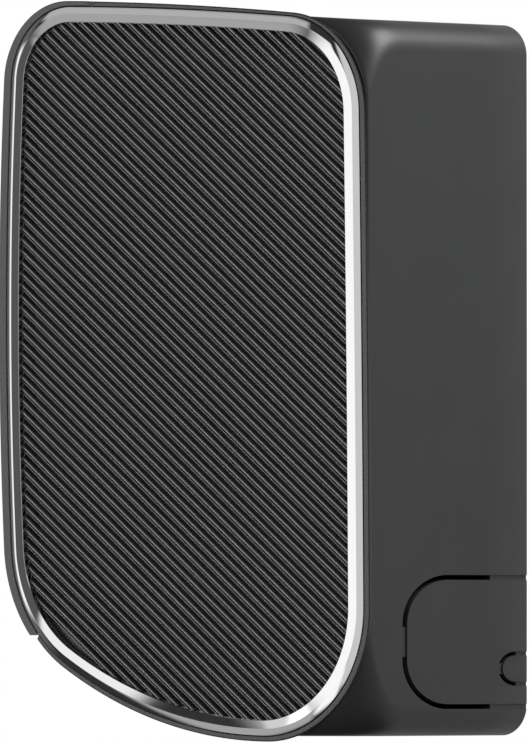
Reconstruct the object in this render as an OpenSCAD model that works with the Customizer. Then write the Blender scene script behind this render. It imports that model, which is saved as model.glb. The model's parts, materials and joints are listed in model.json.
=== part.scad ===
/* [Front outline] */
// Top right corner of the front: centre X, centre Z, radius
corner_tr = [33, 64.5, 26.5]; // [10:0.5:70]
// Top left corner of the front: centre X, centre Z, radius
corner_tl = [-38.5, 74, 21]; // [-60:0.5:80]
// Bottom left corner of the front: centre X, centre Z, radius
corner_bl = [-21.5, -43.5, 38]; // [-60:0.5:50]
// Bottom right corner of the front: centre X, centre Z, radius
corner_br = [27, -61, 34]; // [-80:0.5:50]
// Radius of the slightly bowed top edge
top_bow = 1250; // [800:50:3000]
// Radius of the slightly bowed left edge
left_bow = 1100; // [800:50:3000]
// Radius of the sweep that runs up from the bottom to the left
bottom_sweep = 136; // [130:1:150]
// Radius of the nearly straight right edge
right_bow = 12000; // [6000:500:20000]

/* [Housing] */
// Depth from the wall to the face of the rim
rim_depth = 64.5; // [62:0.5:68]
// How far the housing steps in behind the rim
housing_inset = 1.5; // [1:0.1:2]
// Distance of the right wall from the middle
right_wall = 60.6; // [60:0.1:61.5]
// Radius of the two right corners of the housing
housing_corner = 8; // [6:0.5:10]
// Height of the straight bottom below the middle
housing_floor = 93.5; // [93:0.1:94]
// Height of the top edge where the top right corner starts
housing_shoulder = 88.4; // [88:0.1:89]
// Wall thickness of the housing
wall = 2.4; // [2:0.1:2.6]
// Depth over which the right corners round off towards the rim
blend_depth = 10; // [8:1:12]
// Gap between the rear edge of the cover and the wall
rear_gap = 0.3; // [0.2:0.1:0.5]

/* [Front trim] */
// Width of the dark rim around the bright ring
rim_width = 1.5; // [1:0.1:2]
// Extra width of the rim on its right side
rim_right_extra = 0.5; // [0:0.1:0.8]
// Width of the outer facet of the ring
outer_facet = 1.8; // [1.4:0.1:2]
// Width of the inner facet of the ring
inner_facet = 2.1; // [1.8:0.1:2.4]
// Extra width of the ring on its right side
ring_right_extra = 1; // [0:0.1:1.2]
// How far the crest of the ring stands proud of the rim
ring_rise = 0.75; // [0.4:0.05:1]
// How far the light bar stands out of the left outline
bar_proud = 1.3; // [0.8:0.1:1.6]
// Slope of the ribs below horizontal, to the right
rib_slope = 37.5; // [30:0.5:42]
// Distance from one rib to the next
rib_pitch = 2.34; // [2.2:0.01:3]
// Width of one rib
rib_width = 1.5; // [1.2:0.1:1.9]

/* [Wall fixing] */
// Distance between the wall screws along X
screw_x = 84; // [80:1:84]
// Distance between the wall screws along Z
screw_z = 140; // [138:1:142]
// Radius of the wall screw holes
screw_hole_r = 2.3; // [2:0.1:2.6]
// Thickness of the base plate
plate = 3; // [2.5:0.5:3]

/* [Knock-outs] */
// Reach of the large knock-out from the wall
large_reach = 50.5; // [48:0.5:52]
// Height of the large knock-out
large_height = 34.2; // [32:0.2:36]
// Reach of the small knock-out from the wall
small_reach = 12.1; // [10:0.1:14]
// Height of the small knock-out
small_height = 8.8; // [7:0.2:10]

/* [Speaker] */
// Height of the speaker above the middle
speaker_z = 51.5; // [51.5:0.1:52]
// Radius of the speaker flange
speaker_r = 33.5; // [32:0.5:33.5]

/* [Battery] */
// Radius of one cell
cell_r = 13.1; // [12.8:0.1:13.1]
// Length of one cell with its nub
cell_length = 50; // [49:0.5:50]

/* [Hidden] */
$fn = 48;

// Colours
dark_plastic = [0.16, 0.165, 0.165];
inner_plastic = [0.22, 0.23, 0.24];
chrome = [0.85, 0.86, 0.88];
board_green = [0.08, 0.35, 0.18];
brass_tone = [0.8, 0.66, 0.3];
steel_tone = [0.7, 0.71, 0.73];
black_tone = [0.06, 0.06, 0.07];

// Depths, all counted from the wall
bezel_back = rim_depth - 4;
bezel_seat = rim_depth - 2;
blend_start = rim_depth - blend_depth;
lens_back = bezel_back - 10.5;
lens_front = rim_depth + 0.3;
grille_front = rim_depth - 0.6;
grille_back = bezel_seat + 0.05;

// Insets from the front outline
ring_edge = rim_width + 0.05;
crest_inset = rim_width + outer_facet;
ring_inner = crest_inset + inner_facet;
flange_inset = ring_inner + 3.6;
grille_inset = ring_inner + 0.1;
housing_wall_inset = housing_inset + wall;

// Radius of the small screws and of their pilot holes
screw_r = 1.1;
pilot_r = 1.15;

// Depth where the rim steps out beyond the housing
rim_back = rim_depth - 2.8;

// Gap between the cover and what it slides over
slide_gap = 0.5;

function unit(a) = [cos(a), sin(a)];
function heading(v) = atan2(v[1], v[0]);
function centre(c) = [c[0], c[1]];
function at_least(a, low) = a + 360 * ceil((low - a) / 360);

// Centre of a bowed edge that is tangent to two corner circles
function bow_centre(c1, c2, bow) =
    let (
        d = centre(c2) - centre(c1),
        span = norm(d),
        u = d / span,
        reach1 = bow - c1[2],
        reach2 = bow - c2[2],
        along = (reach1 * reach1 - reach2 * reach2 + span * span) / (2 * span),
        across = sqrt(reach1 * reach1 - along * along)
    )
    centre(c1) + u * along + [-u[1], u[0]] * across;

// Points of an arc, both ends included
function arc(c, r, a0, a1, steps) = [for (k = [0:steps]) c + r * unit(a0 + (a1 - a0) * k / steps)];

// Points of a bowed edge between its two corners, both ends left out
function bow(c, r, a0, a1, steps) =
    [for (k = [1:steps - 1]) c + r * unit(a0 + (a1 - a0) * k / steps)];

// Chain of tangent arcs, from corner circles [x, z, r] and the radii of the edges between them
function chain_points(corners, bows, inset, corner_steps, bow_steps) =
    let (
        n = len(corners),
        mids = [for (i = [0:n - 1]) bow_centre(corners[i], corners[(i + 1) % n], bows[i])],
        leave = [for (i = [0:n - 1]) heading(centre(corners[i]) - mids[i])],
        arrive = [for (i = [0:n - 1]) heading(centre(corners[(i + 1) % n]) - mids[i])]
    )
    [for (i = [0:n - 1])
        let (
            start = arrive[(i + n - 1) % n],
            end = at_least(leave[i], start),
            stop = at_least(arrive[i], end)
        )
        each concat(
            arc(centre(corners[i]), corners[i][2] - inset, start, end, corner_steps),
            bow(mids[i], bows[i] - inset, end, stop, bow_steps))];

edge_bows = [top_bow, left_bow, bottom_sweep, right_bow];

// Outline of the front, stepped in by inset; the left and right corners can be shifted in X
function front_points(inset, left_out = 0, right_in = 0) =
    chain_points(
        [corner_tr - [right_in, 0, 0], corner_tl - [left_out, 0, 0],
         corner_bl - [left_out, 0, 0], corner_br - [right_in, 0, 0]],
        edge_bows, inset, 10, 6);

left_mid = bow_centre(corner_tl, corner_bl, left_bow);
sweep_mid = bow_centre(corner_bl, corner_br, bottom_sweep);

// Outline of the housing: the front outline with its two right corners squared up, and with
// as many points along each edge and corner as the front outline has
house_tr = [right_wall - housing_corner, housing_shoulder - housing_corner, housing_corner];
house_br = [right_wall - housing_corner, housing_corner - housing_floor, housing_corner];
house_tl = corner_tl - [0, 0, housing_inset];
house_bow = 50000;
top_mid = bow_centre(house_tr, house_tl, house_bow);
right_mid = bow_centre(house_br, house_tr, house_bow);
top_leave = heading(centre(house_tr) - top_mid);
top_arrive = heading(centre(house_tl) - top_mid);
right_leave = heading(centre(house_br) - right_mid);
right_arrive = heading(centre(house_tr) - right_mid);
left_leave = at_least(heading(centre(corner_tl) - left_mid), 0);
left_arrive = at_least(heading(centre(corner_bl) - left_mid), 0);
sweep_leave = at_least(heading(centre(corner_bl) - sweep_mid), 0);

function house_points(inset) =
    let (deeper = housing_inset + inset)
    concat(
        arc(centre(house_tr), house_tr[2] - inset, right_arrive, top_leave, 10),
        bow(top_mid, house_bow - inset, top_leave, top_arrive, 6),
        arc(centre(house_tl), house_tl[2] - inset, top_arrive, left_leave, 10),
        bow(left_mid, left_bow - deeper, left_leave, left_arrive, 6),
        arc(centre(corner_bl), corner_bl[2] - deeper, left_arrive, sweep_leave, 10),
        bow(sweep_mid, bottom_sweep - deeper, sweep_leave, 270 + (270 - sweep_leave) / 5, 6),
        arc(centre(house_br), house_br[2] - inset, 270, 360 + right_leave, 10),
        bow(right_mid, house_bow - inset, right_leave, right_arrive, 6));

// Outline that the housing narrows to just behind the rim, flush with its right wall
collar_tr_r = corner_tr[2] - housing_inset;
collar_br_r = corner_br[2] - housing_inset;
function collar_points() =
    chain_points(
        [[right_wall - collar_tr_r, corner_tr[1], collar_tr_r],
         corner_tl - [0, 0, housing_inset], corner_bl - [0, 0, housing_inset],
         [right_wall - collar_br_r, corner_br[1], collar_br_r]],
        [top_bow - housing_inset, left_bow - housing_inset, bottom_sweep - housing_inset,
         house_bow], 0, 10, 6);

function mixed(from, to, share) = [for (i = [0:len(from) - 1]) from[i] + (to[i] - from[i]) * share];

// Outline of the housing at a depth between the start of its rounded front and the rim
function blend_points(depth) =
    let (t = (depth - blend_start) / (rim_depth - blend_start))
    mixed(house_points(0), collar_points(), t * t);

// Outer edge of the rim
rim_corner_drop = 0.5;
function rim_points(inset) =
    chain_points(
        [corner_tr + [rim_right_extra, -rim_corner_drop, 0], corner_tl, corner_bl,
         corner_br + [rim_right_extra, 0, 0]],
        edge_bows, inset, 10, 6);

// X of the left side of the housing at a height
function left_side(z, inset) =
    left_mid[0] - sqrt(pow(left_bow - housing_inset - inset, 2) - pow(z - left_mid[1], 2));

// Flat shape drawn in X and Z, given thickness from one depth to a larger one
module slab(near, far) {
    translate([0, -near, 0])
        rotate([90, 0, 0])
            linear_extrude(far - near)
                children();
}

// Flat shape drawn in depth and Z, given thickness from x0 to x1
module side_slab(x0, x1) {
    translate([x1, 0, 0])
        rotate([90, 0, -90])
            linear_extrude(x1 - x0)
                children();
}

module rod_y(x, z, near, far, r) {
    translate([x, -near, z])
        rotate([90, 0, 0])
            cylinder(h = far - near, r = r);
}

module rod_x(x0, x1, depth, z, r) {
    translate([x0, -depth, z])
        rotate([0, 90, 0])
            cylinder(h = x1 - x0, r = r);
}

// Box from one X, depth and Z to another
module block(x0, x1, near, far, z0, z1) {
    translate([x0, -far, z0])
        cube([x1 - x0, far - near, z1 - z0]);
}

module round_rect(w, h, r) {
    for (sx = [-1, 1])
        for (sz = [-1, 1])
            translate([sx * (w / 2 - r), sz * (h / 2 - r)])
                circle(r = r);
    square([w - 2 * r, h], center = true);
    square([w, h - 2 * r], center = true);
}

// Shape turned about the depth axis through a point, from a profile of [radius, depth]
module turned(x, z) {
    translate([x, 0, z])
        rotate([90, 0, 0])
            rotate_extrude()
                children();
}

// Part of the outline that the light bar takes, widened by a gap at each end
notch_x = -31;
notch_angle = 221;
module bar_sector(gap) {
    end = centre(corner_bl) + 90 * unit(notch_angle);
    along = unit(notch_angle + 90) * gap;
    polygon([[notch_x + gap, 130], [notch_x + gap, 20], centre(corner_bl) + along, end + along,
        [-130, -110], [-130, 130]]);
}

led_z = [66, 46, 26, 6, -14, -34];
led_depth = 55;
button_z = [66, 48, 30];
button_depth = 41;
button_h = 12;
button_w = 6;
button_travel = 0.5;
button_clear = 0.25;

module stadium(w, h) {
    for (s = [-1, 1])
        translate([0, s * (h - w) / 2])
            circle(r = w / 2);
    square([w, h - w], center = true);
}

// ---- Cover ----

// U-shaped slot on the right wall, drawn in depth and Z, open towards the wall
function u_points(reach, half, rx, rz) = concat(
    [[-1, -half]],
    [for (k = [0:10]) [reach - rx, rz - half] + [rx * sin(90 * k / 10), -rz * cos(90 * k / 10)]],
    [for (k = [0:10]) [reach - rx, half - rz] + [rx * cos(90 * k / 10), rz * sin(90 * k / 10)]],
    [[-1, half]]);

module u_slot(reach, half, rx, rz, leg_slot, tip_slot) {
    difference() {
        polygon(u_points(reach, half, rx, rz));
        polygon(u_points(reach - tip_slot, half - leg_slot, rx - tip_slot, rz - leg_slot));
    }
}

large_z = -69.6;
small_z = -76.4;
module large_slot() {
    translate([0, large_z])
        u_slot(large_reach, large_height / 2, 18.4, 12.5, 1.3, 1.9);
}
module small_slot() {
    translate([0, small_z])
        u_slot(small_reach, small_height / 2, 7.3, 4.35, 1.05, 1.85);
}
module large_bridges() {
    translate([0, large_z - large_height])
        square([14.9, 2 * large_height]);
    translate([large_reach - 5, large_z - 3.8])
        square([8, 7.6]);
}
module small_bridges() {
    translate([0, small_z - small_height])
        square([4.5, 2 * small_height]);
    translate([small_reach - 5, small_z - 1.4])
        square([8, 2.8]);
}

// Ring of faces between two closed loops of points, each at its own depth
function loop_at(points, depth) = [for (p = points) [p[0], -depth, p[1]]];

function band_faces(n, from, to) =
    [for (i = [0:n - 1]) each [
        [from * n + i, to * n + (i + 1) % n, from * n + (i + 1) % n],
        [from * n + i, to * n + i, to * n + (i + 1) % n]]];

// Solid through a stack of loops, closed at both ends
module loft_solid(loops) {
    n = len(loops[0]);
    m = len(loops);
    polyhedron(
        points = [for (l = loops) each l],
        faces = concat(
            [[for (i = [0:n - 1]) i]],
            [for (j = [0:m - 2]) each band_faces(n, j, j + 1)],
            [[for (i = [n - 1:-1:0]) (m - 1) * n + i]]));
}

// Solid through a stack of loops, the last one joined back to the first
module ring_solid(loops) {
    n = len(loops[0]);
    m = len(loops);
    polyhedron(
        points = [for (l = loops) each l],
        faces = [for (j = [0:m - 1]) each band_faces(n, j, (j + 1) % m)]);
}

module housing_outer() {
    loft_solid([
        loop_at(house_points(0), rear_gap),
        loop_at(house_points(0), blend_start),
        for (share = [0.4, 0.7, 1])
            let (depth = blend_start + share * (bezel_back - blend_start))
            loop_at(blend_points(depth), depth)]);
}

module housing_inner() {
    loft_solid([
        loop_at(house_points(wall), -1),
        loop_at(house_points(wall), blend_start),
        loop_at(front_points(housing_wall_inset), bezel_back + 0.5)]);
}

module bezel_outer() {
    loft_solid([
        loop_at(blend_points(bezel_back), bezel_back),
        loop_at(blend_points(rim_back - 0.3), rim_back - 0.3),
        loop_at(rim_points(0.1), rim_back),
        loop_at(rim_points(0), rim_back + 0.2),
        loop_at(rim_points(0), rim_depth - 0.4),
        loop_at(rim_points(0.4), rim_depth)]);
}

module cover_shell() {
    color(dark_plastic)
    difference() {
        housing_outer();
        housing_inner();
        // Rebate for the light bar
        slab(lens_back - 0.1, bezel_back + 1)
            difference() {
                bar_sector(0.3);
                polygon(front_points(rim_width + 0.1));
            }
        // Windows for the lamps and the buttons
        for (z = led_z)
            block(-70, -50, led_depth - 2.5, led_depth + 2.5, z - 4, z + 4);
        for (z = button_z)
            side_slab(-70, -50)
                translate([button_depth, z])
                    stadium(button_w + 2 * button_clear, button_h + 2 * button_clear);
        // Knock-outs: open slots, and shallow grooves over the bridges
        side_slab(right_wall - wall - 1, right_wall + 1)
            difference() {
                large_slot();
                large_bridges();
            }
        side_slab(right_wall - wall - 1, right_wall + 1)
            difference() {
                small_slot();
                small_bridges();
            }
        side_slab(right_wall - 0.4, right_wall + 1) {
            large_slot();
            small_slot();
        }
    }
}

module front_bezel() {
    color(dark_plastic)
    difference() {
        bezel_outer();
        slab(bezel_back - 1, rim_depth + 1)
            polygon(front_points(flange_inset));
        slab(bezel_seat, rim_depth + 1)
            polygon(front_points(rim_width));
        slab(bezel_back - 1, rim_depth + 1)
            difference() {
                bar_sector(0.3);
                polygon(front_points(rim_width + 0.1));
            }
    }
}

module chrome_trim_ring() {
    color(chrome)
    ring_solid([
        loop_at(front_points(ring_edge), bezel_seat),
        loop_at(front_points(ring_edge), rim_depth + 0.2),
        loop_at(front_points(crest_inset), rim_depth + ring_rise),
        loop_at(front_points(ring_inner, 0, ring_right_extra), rim_depth + 0.3),
        loop_at(front_points(ring_inner, 0, ring_right_extra), bezel_seat)]);
}

module grille_outline(inset) {
    polygon(front_points(inset, 0, ring_right_extra));
}

module speaker_grille() {
    rib_reach = 130;
    rib_count = 48;
    color(black_tone) {
        slab(grille_back, grille_front)
            intersection() {
                grille_outline(grille_inset);
                rotate(-rib_slope)
                    for (k = [-rib_count:rib_count])
                        translate([-rib_reach, k * rib_pitch - rib_width / 2])
                            square([2 * rib_reach, rib_width]);
            }
        // Frame that ties the ribs together
        slab(grille_back, grille_back + 0.6)
            difference() {
                grille_outline(grille_inset);
                grille_outline(grille_inset + 3);
            }
    }
}

module acoustic_cloth() {
    color(black_tone)
    slab(grille_back - 0.5, grille_back - 0.1)
        polygon(front_points(flange_inset + 0.3));
}

module light_bar_lens() {
    color([0.3, 0.31, 0.31])
    slab(lens_back, lens_front)
        intersection() {
            bar_sector(0);
            difference() {
                polygon(front_points(0, bar_proud));
                polygon(front_points(rim_width + 0.02));
            }
        }
}

// ---- Buttons ----

board_x = -49.4;
board_thick = 1;
switch_face = board_x - 3.5;
plunger_tip = switch_face - 1.3;
stem_tip = plunger_tip - 0.1;
collar_face = stem_tip - 1.3;

module button_cap(z) {
    face = left_side(z, 0) - 0.9;
    side_slab(face, collar_face)
        translate([button_depth, z])
            stadium(button_w, button_h);
    side_slab(collar_face, collar_face + 0.8)
        translate([button_depth, z])
            stadium(button_w + 2, button_h + 2);
    rod_x(collar_face + 0.8, stem_tip, button_depth, z, 2);
}

module plunger(z) {
    rod_x(plunger_tip, switch_face + 0.8, button_depth, z, 1.7);
}

module volume_up_cap() {
    color(inner_plastic) button_cap(button_z[0]);
}
module volume_down_cap() {
    color(inner_plastic) button_cap(button_z[1]);
}
module tune_cap() {
    color(inner_plastic) button_cap(button_z[2]);
}
module volume_up_plunger() {
    color(black_tone) plunger(button_z[0]);
}
module volume_down_plunger() {
    color(black_tone) plunger(button_z[1]);
}
module tune_plunger() {
    color(black_tone) plunger(button_z[2]);
}

module tact_switches() {
    color(steel_tone)
    for (z = button_z)
        difference() {
            block(switch_face, board_x, button_depth - 3, button_depth + 3, z - 3, z + 3);
            rod_x(switch_face - 1, switch_face + 1.6, button_depth, z, 1.8);
        }
}

board_front = 58;
module side_board_shape() {
    translate([board_front - 9, -44])
        square([9, 62]);
    translate([board_front - 28, 16.5])
        square([28, 58.5]);
}

side_screw_z = [20, 73];
side_screw_depth = 34;
module side_board() {
    color(board_green)
    difference() {
        side_slab(board_x, board_x + board_thick)
            side_board_shape();
        for (z = side_screw_z)
            rod_x(board_x - 1, board_x + 2, side_screw_depth, z, 1.3);
    }
}

module side_board_screws() {
    color(steel_tone)
    for (z = side_screw_z) {
        rod_x(board_x - 1.4, board_x, side_screw_depth, z, 2.2);
        rod_x(board_x, board_x + 4.5, side_screw_depth, z, screw_r);
    }
}

module light_bar_leds() {
    color("white")
    for (z = led_z) {
        block(board_x - 1, board_x, led_depth - 1.5, led_depth + 1.5, z - 1.5, z + 1.5);
        rod_x(board_x - 1.4, board_x - 1, led_depth, z, 1.1);
    }
}

// ---- Base ----

tray_x = 1.5;
cell_pitch = 27.3;
tray_low = -42;
tray_high = 16;
tray_floor = 14;
tray_floor_thick = 1.6;
tray_wall = 1.4;
cell_depth = tray_floor + tray_floor_thick + cell_r + 0.2;
tray_half = 1.5 * cell_pitch + cell_r + 0.45;
tray_post_x = [tray_x - cell_pitch, tray_x + cell_pitch];
tray_post_z = [8, -34];
enclosure_half_x = 36;
enclosure_half_z = 33.8;
enclosure_front = 54.5;
ear_ring = 37.2;
lug_x = 40;
lug_z = 26;
pcb_near = 6;
pcb_far = 7.6;
pcb_screw_x = [-42, 44];
pcb_screw_z = [9, -38];
screw_centre_z = 10;
cable_window = [27, 45, -82.5, -73.5];

module wall_hole_pattern(r) {
    for (sx = [-1, 1])
        for (sz = [-1, 1])
            rod_y(sx * screw_x / 2, screw_centre_z + sz * screw_z / 2, -1, 20, r);
}

module base_plate() {
    color(inner_plastic)
    difference() {
        union() {
            slab(0, plate)
                polygon(house_points(wall + slide_gap));
            slab(plate, 9)
                difference() {
                    polygon(house_points(wall + slide_gap));
                    polygon(house_points(wall + slide_gap + 1.2));
                }
            for (x = tray_post_x)
                for (z = tray_post_z)
                    rod_y(x, z, plate, tray_floor, 3);
            for (x = pcb_screw_x)
                for (z = pcb_screw_z)
                    rod_y(x, z, plate, pcb_near, 3);
            for (s = [-1, 1])
                rod_y(s * lug_x, lug_z, plate, plate + 3, 3.2);
            for (z = side_screw_z)
                block(board_x + board_thick, board_x + board_thick + 5, plate, board_front - 20,
                    z - 2.5, z + 2.5);
        }
        wall_hole_pattern(screw_hole_r);
        for (x = tray_post_x)
            for (z = tray_post_z)
                rod_y(x, z, tray_floor - 7, tray_floor + 1, pilot_r);
        for (x = pcb_screw_x)
            for (z = pcb_screw_z)
                rod_y(x, z, 1.5, pcb_near + 1, pilot_r);
        for (s = [-1, 1])
            rod_y(s * lug_x, lug_z, 1.5, plate + 4, pilot_r);
        for (z = side_screw_z)
            rod_x(board_x, board_x + board_thick + 4, side_screw_depth, z, pilot_r);
        block(cable_window[0], cable_window[1], -1, plate + 1, cable_window[2], cable_window[3]);
        // Rear edge of the side knock-outs: the lip stands back from them
        block(right_wall - 6, right_wall, plate, 10, large_z - 17, large_z + 17);
    }
}

module speaker_enclosure() {
    lug_near = plate + 3;
    color(inner_plastic)
    difference() {
        union() {
            translate([0, 0, speaker_z])
                difference() {
                    slab(plate, enclosure_front)
                        round_rect(2 * enclosure_half_x, 2 * enclosure_half_z, 8);
                    slab(plate + 2, enclosure_front - 2)
                        round_rect(2 * enclosure_half_x - 4, 2 * enclosure_half_z - 4, 6);
                }
            for (s = [-1, 1])
                slab(lug_near, lug_near + 2)
                    translate([s * lug_x, lug_z]) {
                        circle(r = 3.4);
                        translate([-s * 3 - 2.5, -3.4])
                            square([5, 6.8]);
                    }
            for (a = [45:90:315])
                rod_y(ear_ring * cos(a), speaker_z + ear_ring * sin(a), enclosure_front - 9,
                    enclosure_front - 1, 3);
        }
        rod_y(0, speaker_z, enclosure_front - 3, enclosure_front + 1, 29.7);
        for (a = [45:90:315])
            rod_y(ear_ring * cos(a), speaker_z + ear_ring * sin(a), enclosure_front - 8,
                enclosure_front + 1, pilot_r);
        for (s = [-1, 1])
            rod_y(s * lug_x, lug_z, plate + 2, plate + 6, 1.3);
        // Outlet for the speaker leads
        rod_x(-enclosure_half_x - 1, -enclosure_half_x + 3, 12, 34, 2.4);
    }
}

module enclosure_screws() {
    color(steel_tone)
    for (s = [-1, 1]) {
        rod_y(s * lug_x, lug_z, 1.6, plate + 5, screw_r);
        rod_y(s * lug_x, lug_z, plate + 5, plate + 6.6, 2.2);
    }
}

flange_far = enclosure_front + 1.2;
module speaker_basket() {
    color(steel_tone)
    difference() {
        union() {
            turned(0, speaker_z)
                polygon([[29.2, enclosure_front], [speaker_r, enclosure_front],
                    [speaker_r, flange_far], [27.8, flange_far], [17.6, 38], [8.4, 38],
                    [8.4, 36], [18.6, 36]]);
            slab(enclosure_front, flange_far)
                for (a = [45:90:315])
                    translate([ear_ring * cos(a), speaker_z + ear_ring * sin(a)])
                        circle(r = 4.2);
        }
        for (a = [45:90:315])
            rod_y(ear_ring * cos(a), speaker_z + ear_ring * sin(a), enclosure_front - 1, flange_far + 1, 1.3);
        // Windows between the four arms
        for (a = [0:90:270])
            translate([0, 0, speaker_z])
                rotate([0, a, 0])
                    block(14, 40, 40, enclosure_front - 3, -9, 9);
    }
}

module speaker_screws() {
    color(steel_tone)
    for (a = [45:90:315]) {
        rod_y(ear_ring * cos(a), speaker_z + ear_ring * sin(a), enclosure_front - 7, flange_far, screw_r);
        rod_y(ear_ring * cos(a), speaker_z + ear_ring * sin(a), flange_far, flange_far + 1.6, 2.3);
    }
}

module speaker_magnet() {
    color(black_tone)
    turned(0, speaker_z)
        translate([9.5, 26])
            square([7.5, 10]);
}

module speaker_yoke() {
    color(steel_tone)
    turned(0, speaker_z)
        polygon([[0, 24], [16.5, 24], [16.5, 26], [7, 26], [7, 37.5], [0, 37.5]]);
}

module speaker_gasket() {
    color(black_tone)
    turned(0, speaker_z)
        translate([30.6, flange_far])
            square([2.9, 2.2]);
}

// Rolled rubber edge between the flange and the cone
module speaker_surround() {
    roll = 1.7;
    color(black_tone)
    turned(0, speaker_z)
        union() {
            translate([28.3, flange_far])
                intersection() {
                    difference() {
                        circle(r = roll + 0.25);
                        circle(r = roll - 0.25);
                    }
                    translate([-3, 0])
                        square([6, 3]);
                }
            translate([29.75, flange_far])
                square([0.8, 0.5]);
        }
}

module speaker_spider() {
    color([0.75, 0.6, 0.3])
    turned(0, speaker_z)
        polygon([[8.3, 39.6], [9.6, 40.1], [11, 39.6], [12.4, 40.1], [13.8, 39.6], [15.2, 40.1],
            [16.8, 38], [17.4, 38], [17.9, 39.4], [15.2, 40.6], [13.8, 40.1], [12.4, 40.6], [11, 40.1],
            [9.6, 40.6], [8.3, 40.1]]);
}

module speaker_terminals() {
    color(brass_tone)
    for (s = [-1, 1]) {
        block(-25, -18.2, 37, 37.8, speaker_z + s * 2.6 - 1, speaker_z + s * 2.6 + 1);
    }
}

module speaker_cone() {
    color([0.1, 0.1, 0.11])
    turned(0, speaker_z)
        polygon([[7.85, 42], [26, 54.6], [26, 55.2], [7.85, 42.7]]);
}

module speaker_dust_cap() {
    color([0.12, 0.12, 0.13])
    turned(0, speaker_z)
        intersection() {
            translate([0, 33.5])
                difference() {
                    circle(r = 14.4);
                    circle(r = 13.9);
                }
            translate([0, 44.1])
                square([10.6, 8]);
        }
}

module voice_coil() {
    color([0.7, 0.35, 0.15])
    turned(0, speaker_z)
        translate([7.45, 30])
            square([0.4, 13]);
}

// ---- Main board ----

pcb_corner = [[-46, 13], [48, 13], [48, -70], [-20, -70], [-46, -52]];
module main_pcb() {
    color(board_green)
    difference() {
        slab(pcb_near, pcb_far)
            polygon(pcb_corner);
        for (sx = [-1, 1])
            rod_y(sx * screw_x / 2, screw_centre_z - screw_z / 2, pcb_near - 1, pcb_far + 1, 5);
        for (x = tray_post_x)
            for (z = tray_post_z)
                rod_y(x, z, pcb_near - 1, pcb_far + 1, 3.6);
        for (x = pcb_screw_x)
            for (z = pcb_screw_z)
                rod_y(x, z, pcb_near - 1, pcb_far + 1, 1.3);
    }
}

module board_screws() {
    color(steel_tone)
    for (x = pcb_screw_x)
        for (z = pcb_screw_z) {
            rod_y(x, z, 1.6, pcb_far, screw_r);
            rod_y(x, z, pcb_far, pcb_far + 1.6, 2.3);
        }
}

module radio_module() {
    color(steel_tone) {
        block(-24, -4, pcb_far, pcb_far + 0.9, -67, -52);
        block(-23, -9, pcb_far + 0.9, pcb_far + 3, -66, -53);
    }
}

// Points of a helix about the Z axis
function helix(r0, r1, z0, z1, turns, steps) =
    [for (k = [0:steps])
        let (t = k / steps, a = 360 * turns * t, r = r0 + (r1 - r0) * t)
        [r * cos(a), r * sin(a), z0 + (z1 - z0) * t]];

// Round bar swept along points
module sweep(path, r, sides) {
    n = len(path);
    function tangent(i) =
        let (d = path[min(i + 1, n - 1)] - path[max(i - 1, 0)])
        d / norm(d);
    function side(i) =
        let (t = tangent(i), k = abs(t[2]) < 0.9 ? [0, 0, 1] : [1, 0, 0], s = cross(t, k))
        s / norm(s);
    function frames(i) = i == 0 ? [side(0)] :
        let (before = frames(i - 1), t = tangent(i), s = before[i - 1], f = s - t * (s * t))
        concat(before, [f / norm(f)]);
    axes = frames(n - 1);
    polyhedron(
        points = [for (i = [0:n - 1])
            let (t = tangent(i), u = axes[i], v = cross(t, u))
            for (k = [0:sides - 1])
                path[i] + r * (cos(360 * k / sides) * u + sin(360 * k / sides) * v)],
        faces = concat(
            [[for (k = [0:sides - 1]) k]],
            [for (i = [0:n - 2]) for (k = [0:sides - 1])
                [i * sides + k, (i + 1) * sides + k, (i + 1) * sides + (k + 1) % sides,
                 i * sides + (k + 1) % sides]],
            [[for (k = [sides - 1:-1:0]) (n - 1) * sides + k]]));
}

module antenna_coil() {
    color(brass_tone)
    translate([-6.2, -pcb_far - 2.75, -66])
        sweep(helix(1.5, 1.5, 0, 12, 7, 84), 0.35, 6);
}

module processor_chip() {
    color(black_tone)
    block(-13, -5, pcb_far, pcb_far + 1.2, -50.8, -42.8);
}

module amplifier_chip() {
    color(black_tone)
    block(-12, -4, pcb_far, pcb_far + 1.5, -6, 0);
}

module crystal_can() {
    color(steel_tone)
    slab(pcb_far, pcb_far + 3.4)
        translate([-1, -46.8])
            stadium(4, 9);
}

capacitor_places = [[0.8, -61.5], [9, -52.5], [41.5, -47.4]];
module capacitors() {
    color([0.15, 0.2, 0.45])
    for (c = capacitor_places)
        rod_y(c[0], c[1], pcb_far, pcb_far + 12, 4.3);
}

module rectifier() {
    color(black_tone)
    block(18, 28, pcb_far, pcb_far + 3.5, -55, -48);
}

connector_x = [-41, -33, -20];
module lead_connectors() {
    color("ivory")
    for (x = connector_x)
        block(x - 3, x + 3, pcb_far, pcb_far + 5, -49, -44);
}

// ---- Terminals ----

terminal_x0 = 6;
terminal_pitch = 7;
terminal_far = 19.6;
terminal_z = [-69.5, -58];
terminal_screw_z = -64;
function terminal_x(i) = terminal_x0 + terminal_pitch * (i - 0.5);

module terminal_block() {
    color([0.1, 0.35, 0.25])
    difference() {
        block(terminal_x0, terminal_x0 + 4 * terminal_pitch, pcb_far, terminal_far,
            terminal_z[0], terminal_z[1]);
        for (i = [1:4]) {
            rod_y(terminal_x(i), terminal_screw_z, 13, terminal_far + 1, 2.3);
            block(terminal_x(i) - 2.4, terminal_x(i) + 2.4, 8.6, 13.2, terminal_z[0] - 1, -60.5);
        }
    }
}

module terminal_clamps() {
    color(brass_tone)
    for (i = [1:4])
        difference() {
            block(terminal_x(i) - 2.2, terminal_x(i) + 2.2, 8.8, 13, -67.2, -60.8);
            block(terminal_x(i) - 1.5, terminal_x(i) + 1.5, 9.5, 12.3, -68, -60);
        }
}

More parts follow.
